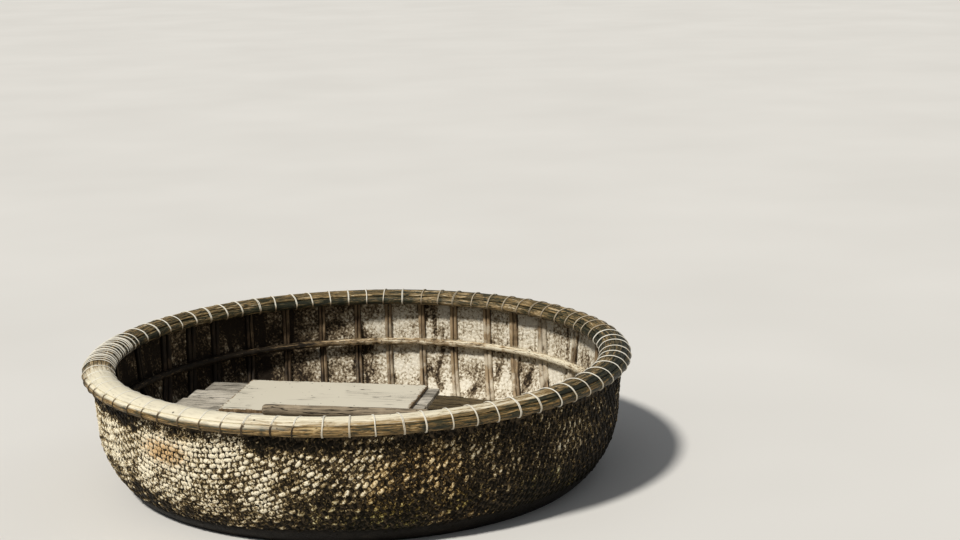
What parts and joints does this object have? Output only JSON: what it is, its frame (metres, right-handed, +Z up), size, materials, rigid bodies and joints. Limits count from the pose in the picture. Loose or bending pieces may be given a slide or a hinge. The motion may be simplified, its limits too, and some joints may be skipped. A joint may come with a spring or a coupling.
{
  "type": "round woven bamboo coracle (basket boat)",
  "caption": "Round woven bamboo coracle with a lashed rim, bent ribs, a plank floor and a small raised deck.",
  "frame": {"origin": "centre of the waterline circle, 0.46 m below the top of the rim", "axes": "+Z up; +Y away from the main view; +X to its right"},
  "size_m": [2.0062, 2.0046, 0.572],
  "materials": {
    "woven_bamboo": "matte",
    "split_bamboo": "satin",
    "round_bamboo": "satin",
    "bamboo_lath": "matte",
    "rib_bamboo": "matte",
    "floor_wood": "matte",
    "deck_wood": "matte",
    "painted_wood": "matte",
    "pole_wood": "matte",
    "cord": "matte"
  },
  "bodies": {
    "root": {"hull_shell": "woven_bamboo", "rim_outer_hoop": "split_bamboo", "rim_clamp_hoop": "split_bamboo", "rim_inner_hoop": "round_bamboo", "rim_lath_1": "bamboo_lath", "rim_lath_2": "bamboo_lath", "rim_lath_3": "bamboo_lath", "rim_lath_4": "bamboo_lath", "rim_lath_5": "bamboo_lath", "rim_lath_6": "bamboo_lath", "rim_lashings": "cord", "lower_rib_01": "rib_bamboo", "lower_rib_02": "rib_bamboo", "lower_rib_03": "rib_bamboo", "lower_rib_04": "rib_bamboo", "lower_rib_05": "rib_bamboo", "lower_rib_06": "rib_bamboo", "lower_rib_07": "rib_bamboo", "lower_rib_08": "rib_bamboo", "lower_rib_09": "rib_bamboo", "lower_rib_10": "rib_bamboo", "lower_rib_11": "rib_bamboo", "lower_rib_12": "rib_bamboo", "lower_rib_13": "rib_bamboo", "upper_rib_01": "rib_bamboo", "upper_rib_02": "rib_bamboo", "upper_rib_03": "rib_bamboo", "upper_rib_04": "rib_bamboo", "upper_rib_05": "rib_bamboo", "upper_rib_06": "rib_bamboo", "wall_hoop": "round_bamboo", "floor_bearer_1": "floor_wood", "floor_bearer_2": "floor_wood", "floor_bearer_3": "floor_wood", "floor_plank_01": "floor_wood", "floor_plank_02": "floor_wood", "floor_plank_03": "floor_wood", "floor_plank_04": "floor_wood", "floor_plank_05": "floor_wood", "floor_plank_06": "floor_wood", "floor_plank_07": "floor_wood", "floor_plank_08": "floor_wood", "floor_plank_09": "floor_wood", "floor_plank_10": "floor_wood", "floor_plank_11": "floor_wood", "floor_plank_12": "floor_wood", "floor_plank_13": "floor_wood", "floor_plank_14": "floor_wood", "deck_bearer_left": "floor_wood", "deck_bearer_right": "floor_wood", "deck_plank_1": "deck_wood", "deck_plank_2": "deck_wood", "deck_plank_3": "deck_wood", "deck_plank_4": "deck_wood", "deck_board": "painted_wood", "deck_pole": "pole_wood"}
  },
  "joints": []
}
